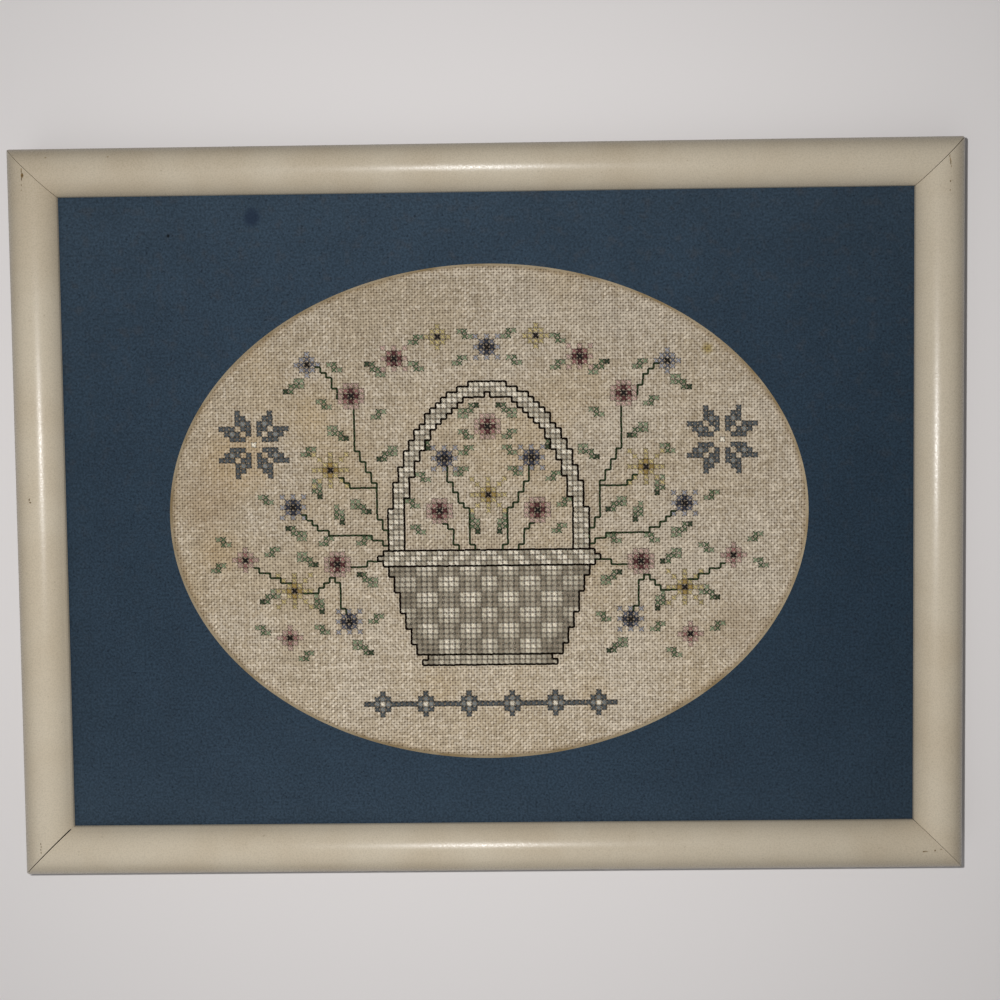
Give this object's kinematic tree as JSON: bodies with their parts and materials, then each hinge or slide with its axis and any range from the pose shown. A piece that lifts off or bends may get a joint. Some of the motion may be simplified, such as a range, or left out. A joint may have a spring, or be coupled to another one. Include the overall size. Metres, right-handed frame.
{
  "type": "cross-stitch linen picture with its wood frame",
  "caption": "Landscape picture in a cream rounded wood frame: a blue mat with a bevelled oval window over flat natural linen worked in counted cross stitch.",
  "frame": {"origin": "middle of the frame's back, on the plane that the four rails lie on", "axes": "+X along the picture's width to its right, +Y to its top edge, +Z out of its face"},
  "size_m": [0.33, 0.2538, 0.019],
  "materials": {
    "cream_paint": "satin cream paint on wood, aged, with small chips and dark mitre lines",
    "blue_card": "matt dark blue card with a fine linen texture and a tan bevel",
    "natural_linen": "oatmeal evenweave linen, slubbed, with faint brown age stains",
    "cotton_floss": "stranded cotton floss in faded whites, greys, pinks, blues, yellows and greens, with dark brown outline thread",
    "grey_board": "plain brown-grey board"
  },
  "bodies": {
    "root": {"rail_top": "cream_paint", "rail_bottom": "cream_paint", "rail_left": "cream_paint", "rail_right": "cream_paint", "mat": "blue_card", "linen": "natural_linen", "backing_board": "grey_board"}
  },
  "joints": []
}
